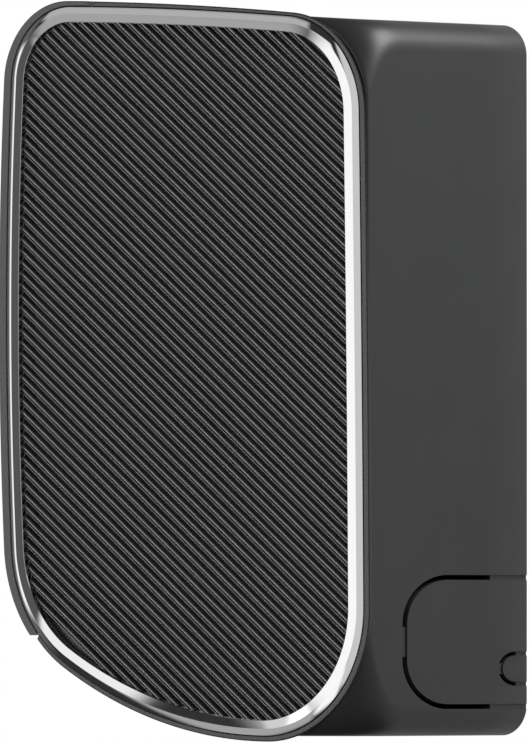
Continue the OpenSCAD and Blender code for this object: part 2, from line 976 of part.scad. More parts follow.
module terminal_screw(i) {
    difference() {
        rod_y(terminal_x(i), terminal_screw_z, 13.2, terminal_far - 0.8, 2.22);
        block(terminal_x(i) - 3, terminal_x(i) + 3, terminal_far - 1.8, terminal_far,
            terminal_screw_z - 0.4, terminal_screw_z + 0.4);
    }
}
module terminal_screw_1() {
    color(steel_tone) terminal_screw(1);
}
module terminal_screw_2() {
    color(steel_tone) terminal_screw(2);
}
module terminal_screw_3() {
    color(steel_tone) terminal_screw(3);
}
module terminal_screw_4() {
    color(steel_tone) terminal_screw(4);
}

// ---- Battery ----

tray_left = tray_x - tray_half - tray_wall;
tray_right = tray_x + tray_half + tray_wall;
contact_thick = 0.4;
end_low = tray_low + tray_wall + 0.2;
end_high = tray_high - tray_wall - 0.2;
spring_length = end_high - end_low - 2 * contact_thick - cell_length;
function cell_x(i) = tray_x + (i - 2.5) * cell_pitch;
function plus_up(i) = i % 2 == 1;

module battery_tray() {
    color(inner_plastic)
    difference() {
        union() {
            block(tray_left, tray_right, tray_floor, tray_floor + tray_floor_thick,
                tray_low, tray_high);
            for (z = [tray_low, tray_high - tray_wall])
                block(tray_left, tray_right, tray_floor, 38, z, z + tray_wall);
            for (x = [tray_left, tray_right - tray_wall])
                block(x, x + tray_wall, tray_floor, 32, tray_low, tray_high);
            // Saddles under the cells
            for (z = [-29, 1])
                block(tray_left, tray_right, tray_floor, 23, z - 0.8, z + 0.8);
            // Arm that steadies the lower end of the side board
            block(board_x + board_thick, board_x + board_thick + 4, 38, board_front - 1,
                tray_low, tray_low + tray_wall);
        }
        for (i = [1:4])
            translate([cell_x(i), -cell_depth, tray_low + tray_wall])
                cylinder(h = tray_high - tray_low - 2 * tray_wall, r = cell_r + 0.2);
        for (x = tray_post_x)
            for (z = tray_post_z)
                rod_y(x, z, tray_floor - 1, tray_floor + 4, 1.3);
    }
}

module tray_screws() {
    color(steel_tone)
    for (x = tray_post_x)
        for (z = tray_post_z) {
            rod_y(x, z, tray_floor - 6, tray_floor + tray_floor_thick, screw_r);
            rod_y(x, z, tray_floor + tray_floor_thick, tray_floor + tray_floor_thick + 1.6, 2.3);
        }
}

module battery_cell(i) {
    up = plus_up(i);
    base = up ? end_low + contact_thick + spring_length : end_high - contact_thick - spring_length;
    translate([cell_x(i), -cell_depth, base])
        mirror([0, 0, up ? 0 : 1])
            rotate_extrude()
                polygon([[0, 0], [cell_r - 0.6, 0], [cell_r, 0.6], [cell_r, cell_length - 2.3],
                    [cell_r - 0.8, cell_length - 1.5], [3.7, cell_length - 1.5],
                    [3.7, cell_length], [0, cell_length]]);
}
module battery_cell_1() {
    color([0.75, 0.5, 0.2]) battery_cell(1);
}
module battery_cell_2() {
    color([0.75, 0.5, 0.2]) battery_cell(2);
}
module battery_cell_3() {
    color([0.75, 0.5, 0.2]) battery_cell(3);
}
module battery_cell_4() {
    color([0.75, 0.5, 0.2]) battery_cell(4);
}

module battery_springs() {
    wire = 0.45;
    color(steel_tone)
    for (i = [1:4]) {
        up = plus_up(i);
        base = up ? end_low + contact_thick : end_high - contact_thick;
        translate([cell_x(i), -cell_depth, base])
            mirror([0, 0, up ? 0 : 1])
                sweep(helix(7.5, 4, wire + 0.05, spring_length - wire - 0.05, 2.5, 50), wire, 6);
    }
}

module contact_plate(x0, x1, top) {
    z0 = top ? end_high - contact_thick : end_low;
    block(x0, x1, cell_depth - 9, cell_depth + 8, z0, z0 + contact_thick);
}

module battery_contacts() {
    color(steel_tone) {
        contact_plate(cell_x(1) - 9, cell_x(2) + 9, true);
        contact_plate(cell_x(3) - 9, cell_x(4) + 9, true);
        contact_plate(cell_x(1) - 9, cell_x(1) + 9, false);
        contact_plate(cell_x(2) - 9, cell_x(3) + 9, false);
        contact_plate(cell_x(4) - 9, cell_x(4) + 9, false);
    }
}

// ---- Leads ----

// Smooth curve through points
function spline(p, steps) =
    let (n = len(p))
    concat([for (i = [0:n - 2]) for (k = [0:steps - 1])
        let (
            t = k / steps,
            a = p[max(i - 1, 0)],
            b = p[i],
            c = p[i + 1],
            d = p[min(i + 2, n - 1)]
        )
        0.5 * (2 * b + (c - a) * t + (2 * a - 5 * b + 4 * c - d) * t * t
            + (3 * b - a - 3 * c + d) * t * t * t)],
        [p[n - 1]]);

speaker_route = [[-24.5, -38.45, 48.9], [-28, -38, 48], [-31, -34, 45], [-32.5, -24, 39],
    [-33, -15, 35], [-35, -12.2, 34], [-39, -12, 34], [-43, -12, 33.5], [-48, -11, 31],
    [-51, -10, 24], [-51, -9.6, 12], [-50.5, -9.4, 0], [-50, -9.4, -26], [-47, -9.8, -37],
    [-42, -10.4, -42], [-41, -10.6, -44]];
battery_route = [[-36, -20, -42.3], [-35, -20, -45], [-31, -18, -48], [-25, -16, -48.3],
    [-20.6, -14.8, -47], [-20, -13.8, -46.5], [-20, -12.65, -46.5]];
ribbon_route = [[-50.2, -31.5, 25], [-51, -20, 21.5], [-51, -13, 19.5], [-51.1, -11.6, 14],
    [-51.2, -11.6, 2], [-51.2, -11.6, -26], [-46, -11.8, -36], [-37, -11.2, -40.5],
    [-33.5, -10.4, -41.6], [-33, -10.2, -42.8], [-33, -10.2, -44]];

module speaker_leads() {
    color("firebrick")
        sweep(spline(speaker_route, 3), 0.7, 8);
}
module battery_leads() {
    color("black")
        sweep(spline(battery_route, 3), 0.7, 8);
}
module side_board_ribbon() {
    color("gray")
        sweep(spline(ribbon_route, 3), 0.8, 8);
}

cover_shell();
front_bezel();
chrome_trim_ring();
speaker_grille();
acoustic_cloth();
light_bar_lens();
volume_up_cap();
volume_down_cap();
tune_cap();
volume_up_plunger();
volume_down_plunger();
tune_plunger();
base_plate();
speaker_enclosure();
speaker_basket();
speaker_magnet();
speaker_yoke();
speaker_gasket();
speaker_surround();
speaker_spider();
speaker_terminals();
speaker_screws();
enclosure_screws();
speaker_cone();
speaker_dust_cap();
voice_coil();
main_pcb();
board_screws();
radio_module();
antenna_coil();
processor_chip();
amplifier_chip();
crystal_can();
capacitors();
rectifier();
lead_connectors();
terminal_block();
terminal_clamps();
terminal_screw_1();
terminal_screw_2();
terminal_screw_3();
terminal_screw_4();
battery_tray();
tray_screws();
battery_cell_1();
battery_cell_2();
battery_cell_3();
battery_cell_4();
battery_springs();
battery_contacts();
side_board();
side_board_screws();
light_bar_leds();
tact_switches();
speaker_leads();
battery_leads();
side_board_ribbon();
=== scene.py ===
"""Looks of the doorbell chime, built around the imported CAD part."""

import json
import math

import bmesh
import bpy
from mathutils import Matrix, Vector


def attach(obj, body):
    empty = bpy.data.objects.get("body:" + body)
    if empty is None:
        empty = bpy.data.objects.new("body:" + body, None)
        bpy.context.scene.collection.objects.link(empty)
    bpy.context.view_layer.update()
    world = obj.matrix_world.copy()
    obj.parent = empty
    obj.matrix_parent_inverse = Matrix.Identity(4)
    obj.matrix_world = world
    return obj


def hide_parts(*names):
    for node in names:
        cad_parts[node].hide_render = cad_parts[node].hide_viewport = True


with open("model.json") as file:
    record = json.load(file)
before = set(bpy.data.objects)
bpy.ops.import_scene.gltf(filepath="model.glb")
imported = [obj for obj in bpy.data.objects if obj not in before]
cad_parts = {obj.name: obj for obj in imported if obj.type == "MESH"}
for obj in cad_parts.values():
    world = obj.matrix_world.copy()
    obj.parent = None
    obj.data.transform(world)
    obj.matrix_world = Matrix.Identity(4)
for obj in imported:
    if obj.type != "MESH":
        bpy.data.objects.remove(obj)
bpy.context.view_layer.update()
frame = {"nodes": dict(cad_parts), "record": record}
MM = 0.001

# ---- Driving dimensions, in millimetres, all depths counted from the wall ----

RIM_DEPTH = 64.5
HOUSING_INSET = 1.5
WALL = 2.4
REAR_GAP = 0.3
BLEND_START = RIM_DEPTH - 19.5
BLEND_POWER = 4
RIM_WIDTH = 1.5
RIM_RIGHT_EXTRA = 0.5
RIM_CORNER_DROP = 0.5
RIM_BACK = RIM_DEPTH - 2.8
RING_RISE = 0.75
OUTER_FACET = 1.8
INNER_FACET = 2.1
RING_RIGHT_EXTRA = 1.0
FACET_CROWN = 0.023
FACET_STEPS = 8
BAR_PROUD = 1.3
BAR_EDGE = 0.3
# Loops this close to a rounded edge keep the face beside it flat
FLAT_LOOP = 0.06
BEZEL_BACK = RIM_DEPTH - 4
BEZEL_SEAT = RIM_DEPTH - 2
LENS_BACK = BEZEL_BACK - 10.5
GRILLE_FRONT = RIM_DEPTH - 0.6
GRILLE_BACK = BEZEL_SEAT + 0.05
RING_EDGE = RIM_WIDTH + 0.05
CREST = RIM_WIDTH + OUTER_FACET
RING_INNER = CREST + INNER_FACET
FLANGE = RING_INNER + 3.6

SHELL_EDGE = 0.5

RIB_SLOPE = math.radians(37.5)
RIB_PITCH = 2.34
RIB_WIDTH = 1.5

RIGHT_WALL = 60.6
HOUSING_CORNER = 8.0
HOUSING_FLOOR = 93.5
HOUSING_SHOULDER = 88.4

NOTCH_X = -31.0
NOTCH_ANGLE = math.radians(221)
NOTCH_GAP = 0.22
NOTCH_FLARE = 0.6

LED_Z = [66, 46, 26, 6, -14, -34]
LED_DEPTH = 55
LED_HALF_DEPTH = 2.5
LED_HALF_HEIGHT = 4
BUTTON_Z = [66, 48, 30]
BUTTON_DEPTH = 41
BUTTON_W = 6.0
BUTTON_H = 12.0
BUTTON_CLEAR = 0.25
# From and to X of the windows in the left side
LEFT_CUT = (-70, -50)

# Knock-outs: reach from the wall, height, corner radii in depth and Z, slot width at legs and tip
LARGE_Z = -69.6
LARGE_KNOCK_OUT = (50.5, 34.2, 18.4, 12.5, 1.3, 1.9)
LARGE_BRIDGE = 3.8
LARGE_LEG_END = 14.9
SMALL_Z = -76.4
SMALL_KNOCK_OUT = (12.1, 8.8, 7.3, 4.35, 1.05, 1.85)
SMALL_BRIDGE = 1.4
SMALL_LEG_END = 4.5
# The slots are this much narrower than the grooves, so that the two share no face
SLOT_STEP = 0.04
GROOVE_DEPTH = 0.4

CORNER_STEPS = 40
EDGE_STEPS = 36

# ---- Outlines: chains of tangent arcs in X and Z ----


def unit(a):
    return Vector((math.cos(a), math.sin(a)))


def heading(v):
    return math.atan2(v.y, v.x)


def at_least(a, low):
    turn = 2 * math.pi
    return a + turn * math.ceil((low - a) / turn - 1e-9)


def bow_centre(c1, r1, c2, r2, bow):
    """Centre of a bowed edge that is tangent to two corner circles."""
    d = c2 - c1
    span = d.length
    u = d / span
    reach1, reach2 = bow - r1, bow - r2
    along = (reach1 * reach1 - reach2 * reach2 + span * span) / (2 * span)
    across = math.sqrt(reach1 * reach1 - along * along)
    return c1 + u * along + Vector((-u.y, u.x)) * across


TOP_BOW, LEFT_BOW, SWEEP, RIGHT_BOW = 1250.0, 1100.0, 136.0, 12000.0


FRONT_BOWS = [TOP_BOW, LEFT_BOW, SWEEP, RIGHT_BOW]
FRONT_CORNERS = [(33, 64.5, 26.5), (-38.5, 74, 21.0), (-21.5, -43.5, 38.0), (27, -61, 34.0)]


def chain(corners, bows):
    """Arcs of an outline, corner and edge by turns, as (centre, radius, from, to).

    corners are (x, z, radius), from the top right one round by the left.
    """
    corners = [(Vector((x, z)), radius) for x, z, radius in corners]
    mids = [bow_centre(*corners[i], *corners[(i + 1) % 4], bows[i]) for i in range(4)]
    leave = [heading(corners[i][0] - mids[i]) for i in range(4)]
    arrive = [heading(corners[(i + 1) % 4][0] - mids[i]) for i in range(4)]
    arcs = []
    for i in range(4):
        start = arrive[i - 1]
        end = at_least(leave[i], start)
        stop = at_least(arrive[i], end)
        arcs.append((corners[i][0], corners[i][1], start, end))
        arcs.append((mids[i], bows[i], end, stop))
    return arcs


def front_pieces(left_out=0.0, right_in=0.0):
    """The front outline with its left side moved out or its right side moved in."""
    moves = [-right_in, -left_out, -left_out, -right_in]
    return chain([(x + m, z, r) for (x, z, r), m in zip(FRONT_CORNERS, moves)], FRONT_BOWS)


FRONT = front_pieces()
BAR_FRONT = front_pieces(left_out=BAR_PROUD)
RING_FRONT = front_pieces(right_in=RING_RIGHT_EXTRA)
RIM = chain(
    [
        (33 + RIM_RIGHT_EXTRA, 64.5 - RIM_CORNER_DROP, 26.5),
        FRONT_CORNERS[1],
        FRONT_CORNERS[2],
        (27 + RIM_RIGHT_EXTRA, -61, 34.0),
    ],
    FRONT_BOWS,
)
# The outline that the housing narrows to just behind the rim, flush with its own right wall
COLLAR = chain(
    [
        (RIGHT_WALL - 25, 64.5, 25.0),
        (-38.5, 74, 21.0 - HOUSING_INSET),
        (-21.5, -43.5, 38.0 - HOUSING_INSET),
        (RIGHT_WALL - 32.5, -61, 32.5),
    ],
    [TOP_BOW - HOUSING_INSET, LEFT_BOW - HOUSING_INSET, SWEEP - HOUSING_INSET, 50000.0],
)


def house_pieces():
    """The arcs of the housing: the front with its two right corners squared up."""
    bow = 50000.0
    tr = Vector((RIGHT_WALL - HOUSING_CORNER, HOUSING_SHOULDER - HOUSING_CORNER))
    br = Vector((RIGHT_WALL - HOUSING_CORNER, HOUSING_CORNER - HOUSING_FLOOR))
    tl, tl_radius = Vector(FRONT_CORNERS[1][:2]), FRONT_CORNERS[1][2] - HOUSING_INSET
    top = bow_centre(tr, HOUSING_CORNER, tl, tl_radius, bow)
    right = bow_centre(br, HOUSING_CORNER, tr, HOUSING_CORNER, bow)
    top_leave, top_arrive = heading(tr - top), heading(tl - top)
    right_leave, right_arrive = heading(br - right), heading(tr - right)
    left_leave, left_arrive = FRONT[3][2], FRONT[3][3]
    sweep_leave = FRONT[4][3]
    lowest = at_least(math.radians(270), sweep_leave)
    turn = 2 * math.pi
    return [
        (tr, HOUSING_CORNER, right_arrive, top_leave),
        (top, bow, top_leave, top_arrive),
        (tl, tl_radius, top_arrive, left_leave),
        (FRONT[3][0], LEFT_BOW - HOUSING_INSET, left_leave, left_arrive),
        (FRONT[4][0], 38.0 - HOUSING_INSET, FRONT[4][2], sweep_leave),
        (FRONT[5][0], SWEEP - HOUSING_INSET, sweep_leave, lowest),
        (br, HOUSING_CORNER, math.radians(270), turn + right_leave),
        (right, bow, right_leave, right_arrive),
    ]


HOUSE = house_pieces()


def stations():
    """Places along an outline: (piece, share), the same for every outline."""
    out = []
    for i in range(8):
        steps = EDGE_STEPS if i % 2 else CORNER_STEPS
        out += [(i, k / steps) for k in range(steps)]
    return out


ALL_ROUND = stations()


def point(arcs, station, inset=0.0):
    centre, radius, a0, a1 = arcs[station[0]]
    return centre + (radius - inset) * unit(a0 + (a1 - a0) * station[1])


def loop(arcs, inset, depth, places=ALL_ROUND):
    return [place3(point(arcs, s, inset), depth) for s in places]


def place3(p, depth):
    """A point of an outline at a depth, in metres in the frame."""
    return Vector((p.x, -depth, p.y)) * MM


# ---- Mesh helpers ----


def new_object(name, bm, material=None, smooth=30):
    bmesh.ops.recalc_face_normals(bm, faces=bm.faces)
    mesh = bpy.data.meshes.new(name)
    bm.to_mesh(mesh)
    bm.free()
    obj = bpy.data.objects.new(name, mesh)
    bpy.context.scene.collection.objects.link(obj)
    if material:
        mesh.materials.append(material)
    if smooth:
        shade(obj, smooth)
    return obj


def shade(obj, angle):
    """Smooth shading, with sharp edges where faces meet at more than the angle."""
    mesh = obj.data
    mesh.polygons.foreach_set("use_smooth", [True] * len(mesh.polygons))
    mesh.set_sharp_from_angle(angle=math.radians(angle))


def skin(bm, loops, closed_round=True, closed_stack=False):
    """Quads through a stack of loops of equal length."""
    rows = [[bm.verts.new(p) for p in row] for row in loops]
    n = len(rows[0])
    pairs = list(zip(rows, rows[1:]))
    if closed_stack:
        pairs.append((rows[-1], rows[0]))
    for low, high in pairs:
        for i in range(n if closed_round else n - 1):
            j = (i + 1) % n
            bm.faces.new((low[i], low[j], high[j], high[i]))
    return rows


def rail(bm, profile, places=None, flare=0.0):
    """A closed profile swept round the outline: a list of (arcs, inset, depth).

    Given places, it covers only those and has an end at each side, drawn back by flare at inset 0.
    """
    rows = []
    for arcs, inset, depth in profile:
        row = loop(arcs, inset, depth, places or ALL_ROUND)
        if places and flare:
            back = flare * MM * max(0.0, 1 - max(inset, 0.0) / RIM_WIDTH)
            row[0] = row[0] + (row[1] - row[0]).normalized() * back
            row[-1] = row[-1] + (row[-2] - row[-1]).normalized() * back
        rows.append(row)
    rows = skin(bm, rows, closed_round=places is None, closed_stack=True)
    if places:
        bm.faces.new([r[0] for r in rows])
        bm.faces.new([r[-1] for r in reversed(rows)])


def fillet(inset0, depth0, inset1, depth1, steps=5):
    """Points of a quarter round from (inset0, depth0) to (inset1, depth1), convex outwards."""
    out = []
    for k in range(steps + 1):
        a = math.pi / 2 * k / steps
        inset = inset0 + (inset1 - inset0) * (1 - math.cos(a))
        out.append((inset, depth0 + (depth1 - depth0) * math.sin(a)))
    return out


def side_prism(bm, points, x0, x1):
    """A flat shape in depth and Z with thickness from one X to another."""
    low = [bm.verts.new(Vector((x0, -d, z)) * MM) for d, z in points]
    high = [bm.verts.new(Vector((x1, -d, z)) * MM) for d, z in points]
    close(bm, low, high)


def close(bm, low, high):
    n = len(low)
    for i in range(n):
        j = (i + 1) % n
        bm.faces.new((low[i], low[j], high[j], high[i]))
    bm.faces.new(low)
    bm.faces.new(list(reversed(high)))


def cut(obj, bm, operation="DIFFERENCE"):
    """Cuts the solid in bm out of obj."""
    tool = new_object("cutter", bm, smooth=0)
    mod = obj.modifiers.new("cut", "BOOLEAN")
    mod.operation = operation
    mod.object = tool
    mod.solver = "EXACT"
    bpy.context.view_layer.update()
    done = bpy.data.meshes.new_from_object(obj.evaluated_get(bpy.context.evaluated_depsgraph_get()))
    obj.modifiers.clear()
    old, obj.data = obj.data, done
    name = old.name
    bpy.data.meshes.remove(old)
    done.name = name
    bpy.data.objects.remove(tool)


# ---- Materials ----


def make_material(name, base, rough, metallic=0.0, specular=0.5, coat=0.0):
    mat = bpy.data.materials.new(name)
    mat.use_nodes = True
    shader = mat.node_tree.nodes["Principled BSDF"]
    shader.inputs["Base Color"].default_value = (*base, 1)
    shader.inputs["Roughness"].default_value = rough
    shader.inputs["Metallic"].default_value = metallic
    shader.inputs["Specular IOR Level"].default_value = specular
    shader.inputs["Coat Weight"].default_value = coat
    return mat, shader


def noise(mat, scale, detail=3.0, roughness=0.55, stretch=None):
    tree = mat.node_tree
    coord = tree.nodes.new("ShaderNodeTexCoord")
    tex = tree.nodes.new("ShaderNodeTexNoise")
    tex.inputs["Scale"].default_value = scale
    tex.inputs["Detail"].default_value = detail
    tex.inputs["Roughness"].default_value = roughness
    if stretch:
        mapping = tree.nodes.new("ShaderNodeMapping")
        mapping.inputs["Scale"].default_value = stretch
        tree.links.new(coord.outputs["Object"], mapping.inputs["Vector"])
        tree.links.new(mapping.outputs["Vector"], tex.inputs["Vector"])
    else:
        tree.links.new(coord.outputs["Object"], tex.inputs["Vector"])
    return tex.outputs["Fac"]


def spread(mat, value, low, high):
    """A value from 0 to 1 stretched to go from low to high."""
    node = mat.node_tree.nodes.new("ShaderNodeMapRange")
    node.inputs["From Min"].default_value = 0.3
    node.inputs["From Max"].default_value = 0.7
    node.inputs["To Min"].default_value = low
    node.inputs["To Max"].default_value = high
    mat.node_tree.links.new(value, node.inputs["Value"])
    return node.outputs["Result"]


def tint(mat, shader, value, dark, light):
    ramp = mat.node_tree.nodes.new("ShaderNodeValToRGB")
    ramp.color_ramp.elements[0].position = 0.3
    ramp.color_ramp.elements[1].position = 0.7
    ramp.color_ramp.elements[0].color = (*dark, 1)
    ramp.color_ramp.elements[1].color = (*light, 1)
    mat.node_tree.links.new(value, ramp.inputs["Fac"])
    mat.node_tree.links.new(ramp.outputs["Color"], shader.inputs["Base Color"])


def bump(mat, shader, value, strength, distance, after=None):
    node = mat.node_tree.nodes.new("ShaderNodeBump")
    node.inputs["Strength"].default_value = strength
    node.inputs["Distance"].default_value = distance
    mat.node_tree.links.new(value, node.inputs["Height"])
    if after:
        mat.node_tree.links.new(after, node.inputs["Normal"])
    mat.node_tree.links.new(node.outputs["Normal"], shader.inputs["Normal"])
    return node.outputs["Normal"]


def moulded(name, base, rough, grain=0.25, depth=0.02, vary=0.06, **more):
    """Moulded plastic: spark-eroded grain, and slight changes of tone and gloss over the part."""
    mat, shader = make_material(name, base, rough, **more)
    slow = noise(mat, 35, detail=2)
    tint(mat, shader, slow, [c * (1 - vary) for c in base], [c * (1 + vary) for c in base])
    fine = noise(mat, 1000 / grain, detail=2)
    link = mat.node_tree.links.new
    link(spread(mat, fine, rough - 0.05, rough + 0.05), shader.inputs["Roughness"])
    bump(mat, shader, fine, 0.35, depth * MM)
    return mat


def metal(name, base, rough, grain=0.4, stretch=(1, 1, 8), strength=0.08):
    """Metal with a fine drawn or plated grain."""
    mat, shader = make_material(name, base, rough, metallic=1.0)
    lines = noise(mat, 1000 / grain, detail=2, stretch=stretch)
    link = mat.node_tree.links.new
    link(spread(mat, lines, rough * 0.8, rough * 1.25), shader.inputs["Roughness"])
    tint(mat, shader, noise(mat, 60), [c * 0.93 for c in base], base)
    bump(mat, shader, lines, strength, 0.01 * MM)
    return mat


def chrome_material():
    """Bright plating: almost a mirror, with a faint haze and ripple."""
    mat, shader = make_material("trim_chrome", (0.93, 0.935, 0.945), 0.03, metallic=1.0)
    haze = noise(mat, 180, detail=4)
    link = mat.node_tree.links.new
    link(spread(mat, haze, 0.02, 0.055), shader.inputs["Roughness"])
    bump(mat, shader, noise(mat, 60, detail=1), 0.05, 0.004 * MM)
    return mat


def woven(name, base, pitch=0.35):
    """Fine plain weave, from two crossed sets of threads."""
    mat, shader = make_material(name, base, 0.85, specular=0.25)
    tree, link = mat.node_tree, mat.node_tree.links.new
    coord = tree.nodes.new("ShaderNodeTexCoord")
    heights = []
    for axis in ("X", "Z"):
        wave = tree.nodes.new("ShaderNodeTexWave")
        wave.bands_direction = axis
        wave.inputs["Scale"].default_value = math.pi / (pitch * MM) / 20
        wave.inputs["Distortion"].default_value = 0.6
        wave.inputs["Detail Scale"].default_value = 2.0
        link(coord.outputs["Object"], wave.inputs["Vector"])
        heights.append(wave.outputs["Fac"])
    both = tree.nodes.new("ShaderNodeMath")
    both.operation = "MAXIMUM"
    link(heights[0], both.inputs[0])
    link(heights[1], both.inputs[1])
    tint(mat, shader, both.outputs[0], [c * 0.6 for c in base], base)
    bump(mat, shader, both.outputs[0], 0.3, 0.05 * MM)
    return mat


MATERIALS = {
    "housing_plastic": moulded("housing_plastic", (0.030, 0.0315, 0.0312), 0.42, grain=0.3),
    "trim_chrome": chrome_material(),
    "grille_plastic": moulded(
        "grille_plastic", (0.07, 0.07, 0.071), 0.34, grain=0.18, depth=0.015, specular=1.0
    ),
    "acoustic_cloth": woven("acoustic_cloth", (0.19, 0.19, 0.193)),
    "light_bar": moulded(
        "light_bar", (0.034, 0.035, 0.0345), 0.4, grain=0.2, depth=0.01
    ),
    "button_plastic": moulded("button_plastic", (0.05, 0.052, 0.053), 0.4),
    "inner_plastic": moulded("inner_plastic", (0.045, 0.047, 0.05), 0.55, grain=0.4),
    "black_plastic": moulded("black_plastic", (0.015, 0.015, 0.016), 0.5, grain=0.2),
    "steel": metal("steel", (0.62, 0.62, 0.63), 0.3),
    "ferrite": moulded("ferrite", (0.03, 0.03, 0.032), 0.6, grain=0.15, depth=0.04, vary=0.15),
    "foam": moulded("foam", (0.02, 0.02, 0.02), 0.9, grain=0.5, depth=0.15, vary=0.2),
    "rubber": moulded("rubber", (0.018, 0.018, 0.018), 0.6, grain=0.3),
    "spider_cloth": woven("spider_cloth", (0.5, 0.33, 0.12), pitch=0.5),
    "cone_paper": moulded(
        "cone_paper", (0.022, 0.022, 0.023), 0.8, grain=0.6, depth=0.06, vary=0.2
    ),
    "copper": metal("copper", (0.85, 0.42, 0.22), 0.25, grain=0.3, stretch=(1, 8, 1), strength=0.3),
    "brass": metal("brass", (0.8, 0.62, 0.3), 0.24),
    "circuit_board": moulded("circuit_board", (0.008, 0.11, 0.04), 0.3, grain=0.5, vary=0.2),
    "capacitor_sleeve": moulded("capacitor_sleeve", (0.015, 0.025, 0.11), 0.3, grain=0.4),
    "connector_plastic": moulded("connector_plastic", (0.72, 0.69, 0.58), 0.4),
    "terminal_plastic": moulded("terminal_plastic", (0.02, 0.14, 0.08), 0.4),
    "cell_wrap": moulded("cell_wrap", (0.5, 0.27, 0.05), 0.25, grain=0.8, depth=0.01),
    "lamp_resin": moulded("lamp_resin", (0.82, 0.82, 0.78), 0.2, grain=0.5, depth=0.005),
    "lead_red": moulded("lead_red", (0.38, 0.02, 0.015), 0.4),
    "lead_black": moulded("lead_black", (0.015, 0.015, 0.015), 0.4),
    "ribbon_grey": moulded("ribbon_grey", (0.3, 0.3, 0.31), 0.4),
}

for row in frame["record"]["subparts"]:
    node_mesh = frame["nodes"][row["node"]].data
    node_mesh.materials.clear()
    node_mesh.materials.append(MATERIALS[row["material_slot"]])


def finish_piece(obj, body, slot, *nodes):
    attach(obj, body)
    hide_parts(*nodes)


# ---- Housing ----


def blend_row(depth, inset=0.0):
    """Loop of the housing at a depth between the start of its rounded front and the rim."""
    t = (depth - BLEND_START) / (RIM_DEPTH - BLEND_START)
    row = [point(HOUSE, s, inset).lerp(point(COLLAR, s, inset), t**BLEND_POWER) for s in ALL_ROUND]
    return [place3(p, depth) for p in row]


def u_outline(reach, half, rx, rz, steps=14):
    """The U of a knock-out in depth and Z about its own middle, open towards the wall."""
    quarter = [math.pi / 2 * k / steps for k in range(steps + 1)]
    low = [(reach - rx + rx * math.sin(a), rz - half - rz * math.cos(a)) for a in quarter]
    high = [(reach - rx + rx * math.cos(a), half - rz + rz * math.sin(a)) for a in quarter]
    return low + high


def u_band(reach, height, rx, rz, leg, tip, z):
    """Outer and inner points of the slot round a knock-out."""
    half = height / 2
    outer = [(d, z + h) for d, h in u_outline(reach, half, rx, rz)]
    inner = [(d, z + h) for d, h in u_outline(reach - tip, half - leg, rx - tip, rz - leg)]
    return outer, inner


def knock_out_band(shape, z, narrower=0.0):
    """The slot round a knock-out, drawn in on every side."""
    reach, height, rx, rz, leg, tip = shape
    n = narrower
    return u_band(reach - n, height - 2 * n, rx - n, rz - n, leg - 2 * n, tip - 2 * n, z)


def along_u(outer, inner, first, last):
    """The part of the slot between two cuts, as a closed outline.

    A cut is (side, limit): side -1 or 1 for a leg cut at a depth, 0 for the tip cut at a height.
    """
    return clip(outer, first, last) + clip(inner, first, last)[::-1]


def clip(points, first, last):
    """Points of one side of the slot from the cut called first to the cut called last."""
    leg_low, leg_high = points[0], points[-1]
    line = [(first[1], leg_low[1])] if first[0] == -1 else []
    body = []
    for d, z in points:
        if first[0] == 0 and z < first[1]:
            continue
        if last[0] == 0 and z > last[1]:
            continue
        body.append((d, z))
    if first[0] == 0:
        line = [(body[0][0], first[1])]
    tail = [(last[1], leg_high[1])] if last[0] == 1 else [(body[-1][0], last[1])]
    return line + body + tail


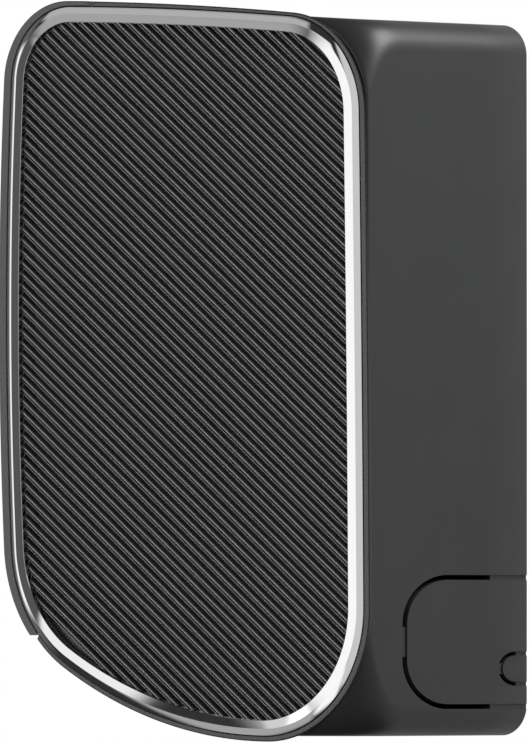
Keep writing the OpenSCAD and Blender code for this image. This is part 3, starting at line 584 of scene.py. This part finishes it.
def build_housing():
    front = RIM_DEPTH - 0.3
    steps = 30
    rows = [loop(HOUSE, WALL, REAR_GAP), loop(HOUSE, 0.35, REAR_GAP)]
    rows += [loop(HOUSE, i, REAR_GAP + d) for i, d in ((0.1, 0.1), (0.0, 0.35))]
    rows += [loop(HOUSE, 0.0, d) for d in (15.0, 30.0, BLEND_START)]
    last = front - SHELL_EDGE
    rows += [blend_row(BLEND_START + (last - BLEND_START) * k / steps) for k in range(1, steps + 1)]
    rows += [blend_row(d, i) for i, d in fillet(0.0, last, SHELL_EDGE, front)[1:]]
    rows += [blend_row(BEZEL_BACK, SHELL_EDGE), blend_row(BEZEL_BACK, WALL)]
    rows += [loop(HOUSE, WALL, BLEND_START)]
    bm = bmesh.new()
    skin(bm, rows, closed_stack=True)
    shell = new_object("housing", bm, smooth=0)

    # Shallow grooves over the bridges, then the open slots between the bridges
    knock_outs = [
        (LARGE_KNOCK_OUT, LARGE_Z, LARGE_BRIDGE, LARGE_LEG_END),
        (SMALL_KNOCK_OUT, SMALL_Z, SMALL_BRIDGE, SMALL_LEG_END),
    ]
    bm = bmesh.new()
    for shape, z, _, _ in knock_outs:
        outer, inner = [[(-1, b[0][1])] + b + [(-1, b[-1][1])] for b in knock_out_band(shape, z)]
        side_prism(bm, outer + inner[::-1], RIGHT_WALL - GROOVE_DEPTH, RIGHT_WALL + 1)
    cut(shell, bm)
    bm = bmesh.new()
    for shape, z, bridge, leg_end in knock_outs:
        band = knock_out_band(shape, z, SLOT_STEP)
        for first, last in (((-1, leg_end), (0, z - bridge)), ((0, z + bridge), (1, leg_end))):
            side_prism(bm, along_u(*band, first, last), RIGHT_WALL - WALL - 1, RIGHT_WALL + 1)
    cut(shell, bm)

    # Rebate for the light bar
    bm = bmesh.new()
    wide = NOTCH_GAP + 0.15
    profile = [(FRONT, RIM_WIDTH + 0.1, LENS_BACK - 0.1), (FRONT, RIM_WIDTH + 0.1, RIM_DEPTH + 2)]
    profile += [(FRONT, -4, RIM_DEPTH + 2), (FRONT, -4, LENS_BACK - 0.1)]
    rail(bm, profile, bar_places(-wide))
    cut(shell, bm)

    # Windows for the lamps and the buttons
    bm = bmesh.new()
    for z in LED_Z:
        corners = [(-1, -1), (1, -1), (1, 1), (-1, 1)]
        box = [(LED_DEPTH + i * LED_HALF_DEPTH, z + j * LED_HALF_HEIGHT) for i, j in corners]
        side_prism(bm, box, *LEFT_CUT)
    for z in BUTTON_Z:
        size = (BUTTON_W + 2 * BUTTON_CLEAR, BUTTON_H + 2 * BUTTON_CLEAR)
        side_prism(bm, stadium(*size, BUTTON_DEPTH, z), *LEFT_CUT)
    cut(shell, bm)
    shell.data.materials.clear()
    shell.data.materials.append(MATERIALS["housing_plastic"])
    shade(shell, 24)
    finish_piece(shell, "cover", "housing_plastic", "cover_shell")


def stadium(w, h, depth, z, steps=16):
    """Outline in depth and Z of a slot with round ends."""
    out = []
    for side in (1, -1):
        for k in range(steps + 1):
            a = math.pi * k / steps
            rise = (h - w) / 2 + w / 2 * math.sin(a)
            out.append((depth + side * w / 2 * math.cos(a), z + side * rise))
    return out


def bar_places(gap):
    """Stations from the top notch to the lower one, drawn in by gap at both ends."""
    c, r, a0, a1 = FRONT[1]
    angle = math.acos((NOTCH_X - gap - c.x) / r)
    first = (1, (angle - a0) / (a1 - a0))
    c, r, a0, a1 = FRONT[4]
    last_angle = at_least(NOTCH_ANGLE, a0) - gap / r
    last = (4, (last_angle - a0) / (a1 - a0))
    return between(first, last)


def rim_places(gap):
    """Stations from the lower notch, round the right side, to the top one."""
    c, r, a0, a1 = FRONT[4]
    first_angle = at_least(NOTCH_ANGLE, a0) + gap / r
    first = (4, (first_angle - a0) / (a1 - a0))
    c, r, a0, a1 = FRONT[1]
    angle = math.acos((NOTCH_X + gap - c.x) / r)
    last = (1, (angle - a0) / (a1 - a0))
    return between(first, last)


def between(first, last):
    if first < last:
        inside = [s for s in ALL_ROUND if first < s < last]
    else:
        inside = [s for s in ALL_ROUND if s > first] + [s for s in ALL_ROUND if s < last]
    return [first, *inside, last]


# ---- Rim, light bar and ring ----


def build_rim():
    """The dark rim outside the ring, and the seat that the ring and the grille lie on."""
    bm = bmesh.new()
    top = RIM_DEPTH
    profile = [(COLLAR, SHELL_EDGE + 0.05, RIM_BACK)]
    profile += [(RIM, i, d) for i, d in fillet(0.05, top - 0.35, 0.4, top, 5)]
    profile += [(RIM, 0.4 + FLAT_LOOP, top), (FRONT, RIM_WIDTH - 0.25 - FLAT_LOOP, top)]
    profile += [(FRONT, RIM_WIDTH - 0.25, top), (FRONT, RIM_WIDTH - 0.1, top - 0.08)]
    profile += [(FRONT, RIM_WIDTH, top - 0.3), (FRONT, RIM_WIDTH, RIM_BACK)]
    rail(bm, profile, rim_places(NOTCH_GAP), flare=NOTCH_FLARE)
    seat = [(FRONT, RIM_WIDTH + 0.04, BEZEL_BACK), (FRONT, RIM_WIDTH + 0.04, BEZEL_SEAT)]
    seat += [(FRONT, FLANGE, BEZEL_SEAT), (FRONT, FLANGE, BEZEL_BACK)]
    rail(bm, seat)
    rim = new_object("front_rim", bm, MATERIALS["housing_plastic"], smooth=40)
    finish_piece(rim, "cover", "housing_plastic", "front_bezel")


def build_light_bar():
    bm = bmesh.new()
    top = RIM_DEPTH + 0.3
    profile = [(BAR_FRONT, 0.5, LENS_BACK), (BAR_FRONT, 0.12, LENS_BACK + 0.12)]
    profile += [(BAR_FRONT, 0.0, LENS_BACK + 0.5)]
    profile += [(BAR_FRONT, 0.0, LENS_BACK + 7), (BAR_FRONT, 0.0, top - BAR_EDGE)]
    profile += [(BAR_FRONT, i, d) for i, d in fillet(0.0, top - BAR_EDGE, BAR_EDGE, top, 6)[1:]]
    profile += [(BAR_FRONT, BAR_EDGE + FLAT_LOOP, top), (FRONT, RIM_WIDTH - 0.35 - FLAT_LOOP, top)]
    profile += [(FRONT, RIM_WIDTH - 0.35, top), (FRONT, RIM_WIDTH - 0.12, top - 0.12)]
    profile += [(FRONT, RIM_WIDTH, top - 0.5), (FRONT, RIM_WIDTH + 0.02, LENS_BACK)]
    rail(bm, profile, bar_places(NOTCH_GAP), flare=NOTCH_FLARE)
    bar = new_object("light_bar", bm, MATERIALS["light_bar"], smooth=35)
    finish_piece(bar, "cover", "light_bar", "light_bar_lens")


def build_ring():
    """The bright ring: a slightly crowned outer facet, a fine crest and a flat inner facet."""
    bm = bmesh.new()
    out_depth, in_depth = RIM_DEPTH + 0.2, RIM_DEPTH + 0.3
    crest = RIM_DEPTH + RING_RISE
    profile = [(FRONT, RING_EDGE, BEZEL_SEAT + 0.01), (FRONT, RING_EDGE, out_depth - 0.06)]
    for k in range(FACET_STEPS + 1):
        share = k / FACET_STEPS
        inset = RING_EDGE + 0.06 + (CREST - 0.04 - RING_EDGE - 0.06) * share
        rise = (crest - 0.01 - out_depth) * share + FACET_CROWN * 4 * share * (1 - share)
        profile.append((FRONT, inset, out_depth + rise))
    profile += [
        (FRONT, CREST, crest),
        (FRONT, CREST + 0.04, crest - 0.007),
        (RING_FRONT, RING_INNER - 0.06, in_depth + 0.01),
        (RING_FRONT, RING_INNER, in_depth - 0.06),
        (RING_FRONT, RING_INNER, BEZEL_SEAT + 0.01),
    ]
    rail(bm, profile)
    ring = new_object("chrome_ring", bm, MATERIALS["trim_chrome"], smooth=3)
    finish_piece(ring, "cover", "trim_chrome", "chrome_trim_ring")


# ---- Grille ----


ALONG_RIB = unit(-RIB_SLOPE)
ACROSS_RIB = unit(math.pi / 2 - RIB_SLOPE)


def outline_span(points, v):
    """Where a line along the ribs, at distance v across them, crosses a convex outline."""
    along, across = ALONG_RIB, ACROSS_RIB
    hits = []
    for p, q in zip(points, points[1:] + points[:1]):
        a, b = p.dot(across) - v, q.dot(across) - v
        if a * b < 0:
            hits.append(p.lerp(q, a / (a - b)).dot(along))
    return (min(hits), max(hits)) if len(hits) > 1 else None


def rib_profile():
    """Section of one rib: (distance across it from its lower edge, depth below the front)."""
    crown = [(0.62 + 0.88 * (1 - math.cos(a)) / 2, 0.22 * (1 - math.sin(a))) for a in arc_steps(10)]
    ledge = [(0.08, 0.50), (0.12, 0.28), (0.20, 0.20), (0.32, 0.20), (0.40, 0.30), (0.42, 0.60)]
    back = GRILLE_FRONT - GRILLE_BACK
    return [(0.08, back), *ledge, (0.58, 0.62), (0.60, 0.32), *crown, (1.50, 0.5), (1.50, back)]


def arc_steps(n):
    return [math.pi * k / n for k in range(n + 1)]


def build_grille():
    outline = [point(RING_FRONT, s, RING_INNER + 0.1) for s in ALL_ROUND]
    along, across = ALONG_RIB, ACROSS_RIB
    section = rib_profile()
    bm = bmesh.new()
    for k in range(-48, 49):
        start = k * RIB_PITCH - RIB_WIDTH / 2
        spans = [outline_span(outline, start + v) for v, _ in section]
        if None in spans:
            continue
        ends = [[], []]
        for (v, below), span in zip(section, spans):
            for row, u in zip(ends, span):
                p = along * u + across * (start + v)
                row.append(bm.verts.new(place3(p, GRILLE_FRONT - below)))
        n = len(section)
        for i in range(n):
            j = (i + 1) % n
            bm.faces.new((ends[0][i], ends[0][j], ends[1][j], ends[1][i]))
        bm.faces.new(ends[0])
        bm.faces.new(ends[1][::-1])
    # Frame that ties the ribs together
    edges = [(-0.4, 0.0), (-0.4, 0.5), (0.15, 0.5), (0.15, 0.0)]
    rail(bm, [(RING_FRONT, RING_INNER + i, GRILLE_BACK + rise) for i, rise in edges])
    grille = new_object("grille_ribs", bm, MATERIALS["grille_plastic"], smooth=35)
    finish_piece(grille, "cover", "grille_plastic", "speaker_grille")


def build_cloth():
    """Acoustic cloth stretched flat behind the ribs."""
    bm = bmesh.new()
    depth = GRILLE_BACK - 0.3
    edge = [bm.verts.new(p) for p in loop(FRONT, FLANGE - 2.5, depth)]
    bm.faces.new(edge)
    cloth = new_object("stretched_cloth", bm, MATERIALS["acoustic_cloth"], smooth=0)
    finish_piece(cloth, "cover", "acoustic_cloth", "acoustic_cloth")


build_housing()
build_rim()
build_light_bar()
build_ring()
build_grille()
build_cloth()

# ---- Studio ----


def build_floor():
    bm = bmesh.new()
    bmesh.ops.create_grid(bm, x_segments=2, y_segments=2, size=14)
    floor = new_object("floor", bm, smooth=0)
    floor.location.z = FLOOR_Z
    mat, shader = make_material("floor_paint", (0.86, 0.86, 0.855), 0.7)
    tint(mat, shader, noise(mat, 3), (0.85, 0.85, 0.845), (0.87, 0.87, 0.865))
    shader.inputs["Emission Color"].default_value = (0.86, 0.86, 0.855, 1)
    shader.inputs["Emission Strength"].default_value = FLOOR_GLOW
    floor.data.materials.append(mat)
    floor.visible_glossy = False
    floor.visible_diffuse = False


# Soft boxes of the studio by direction, in degrees, and their brightness:
# (azimuth, half width, elevation, half height, soft edge, brightness).
# Azimuth is counted from the front towards the right.
SOFT_BOXES = [
    (-62, 14, 1, 11, 3, 1.0),
    (-85, 20, 8, 26, 5, 0.12),
    (-50, 8, 14, 8, 2, 0.65),
    (-3, 11, 5, 28, 2, 0.60),
    (-18, 7, -20, 8, 3, 1.0),
    (-20, 8, 0, 20, 4, 0.09),
    (-27, 8, 18, 6, 1, 0.9),
    (-48, 16, 27, 6, 2, 0.45),
    (-40, 16, -22, 10, 3, 0.38),
    (-40, 10, 2, 11, 3, 5.0),
    (108, 85, -10, 42, 12, 0.5),
    (120, 65, 28, 5, 3, 1.6),
    (-140, 38, -5, 40, 10, 0.5),
]
DARK_LEVEL = 0.03
FLOOR_GLOW = 0.6
FLOOR_Z = -0.6

# Angles in degrees, target in millimetres, distance in metres
CAMERA_AZIMUTH = 40
CAMERA_ELEVATION = -0.9
CAMERA_DISTANCE = 4.5
CAMERA_TARGET = (-0.98, -31.5, -0.15)
CAMERA_LENS = 849.2


def build_world():
    world = bpy.data.worlds.new("studio")
    bpy.context.scene.world = world
    world.use_nodes = True
    tree, link = world.node_tree, world.node_tree.links.new
    coord = tree.nodes.new("ShaderNodeTexCoord")
    split = tree.nodes.new("ShaderNodeSeparateXYZ")
    link(coord.outputs["Generated"], split.inputs["Vector"])

    def calc(operation, *values):
        node = tree.nodes.new("ShaderNodeMath")
        node.operation = operation
        for socket, value in zip(node.inputs, values):
            if isinstance(value, (int, float)):
                socket.default_value = value
            else:
                link(value, socket)
        return node.outputs[0]

    def inside(angle, centre, half, edge):
        """1 within the half width of the centre, falling to 0 over the edge."""
        turned = calc("SUBTRACT", angle, math.radians(centre))
        away = calc("ARCCOSINE", calc("COSINE", turned))
        node = tree.nodes.new("ShaderNodeMapRange")
        node.interpolation_type = "SMOOTHSTEP"
        node.inputs["From Min"].default_value = math.radians(half + edge)
        node.inputs["From Max"].default_value = math.radians(half - edge)
        link(away, node.inputs["Value"])
        return node.outputs["Result"]

    azimuth = calc("ARCTAN2", split.outputs["X"], calc("MULTIPLY", split.outputs["Y"], -1))
    elevation = calc("ARCSINE", split.outputs["Z"])
    light = None
    for az, half_w, el, half_h, edge, bright in SOFT_BOXES:
        across, up = inside(azimuth, az, half_w, edge), inside(elevation, el, half_h, edge)
        patch = calc("MULTIPLY", across, up)
        patch = calc("MULTIPLY", patch, bright)
        light = calc("MAXIMUM", light if light else DARK_LEVEL, patch)
    # The room itself is plain white
    path = tree.nodes.new("ShaderNodeLightPath")
    light = calc("MAXIMUM", light, path.outputs["Is Camera Ray"])
    background = tree.nodes["Background"]
    link(light, background.inputs["Strength"])
    background.inputs["Color"].default_value = (1, 1, 1, 1)


def area_light(name, azimuth, elevation, distance, size, power, aim=(0, -0.03, 0)):
    data = bpy.data.lights.new(name, "AREA")
    data.shape = "RECTANGLE"
    data.size, data.size_y = size
    data.energy = power
    light = bpy.data.objects.new(name, data)
    bpy.context.scene.collection.objects.link(light)
    a, e = math.radians(azimuth), math.radians(elevation)
    away = Vector((math.sin(a) * math.cos(e), -math.cos(a) * math.cos(e), math.sin(e)))
    light.location = Vector(aim) + away * distance
    light.rotation_euler = away.to_track_quat("Z", "Y").to_euler()


def build_camera():
    azimuth, elevation = math.radians(CAMERA_AZIMUTH), math.radians(CAMERA_ELEVATION)
    target = Vector(CAMERA_TARGET) * MM
    away = Vector(
        (
            math.sin(azimuth) * math.cos(elevation),
            -math.cos(azimuth) * math.cos(elevation),
            math.sin(elevation),
        )
    )
    data = bpy.data.cameras.new("camera")
    data.sensor_width = 36
    data.lens = CAMERA_LENS
    data.clip_end = 100
    camera = bpy.data.objects.new("camera", data)
    bpy.context.scene.collection.objects.link(camera)
    camera.location = target + away * CAMERA_DISTANCE
    camera.rotation_euler = away.to_track_quat("Z", "Y").to_euler()
    bpy.context.scene.camera = camera


build_floor()
build_world()
area_light("top_light", 120, 50, 0.6, (0.3, 0.3), 3.0)
build_camera()
bpy.context.scene.view_settings.view_transform = "Standard"
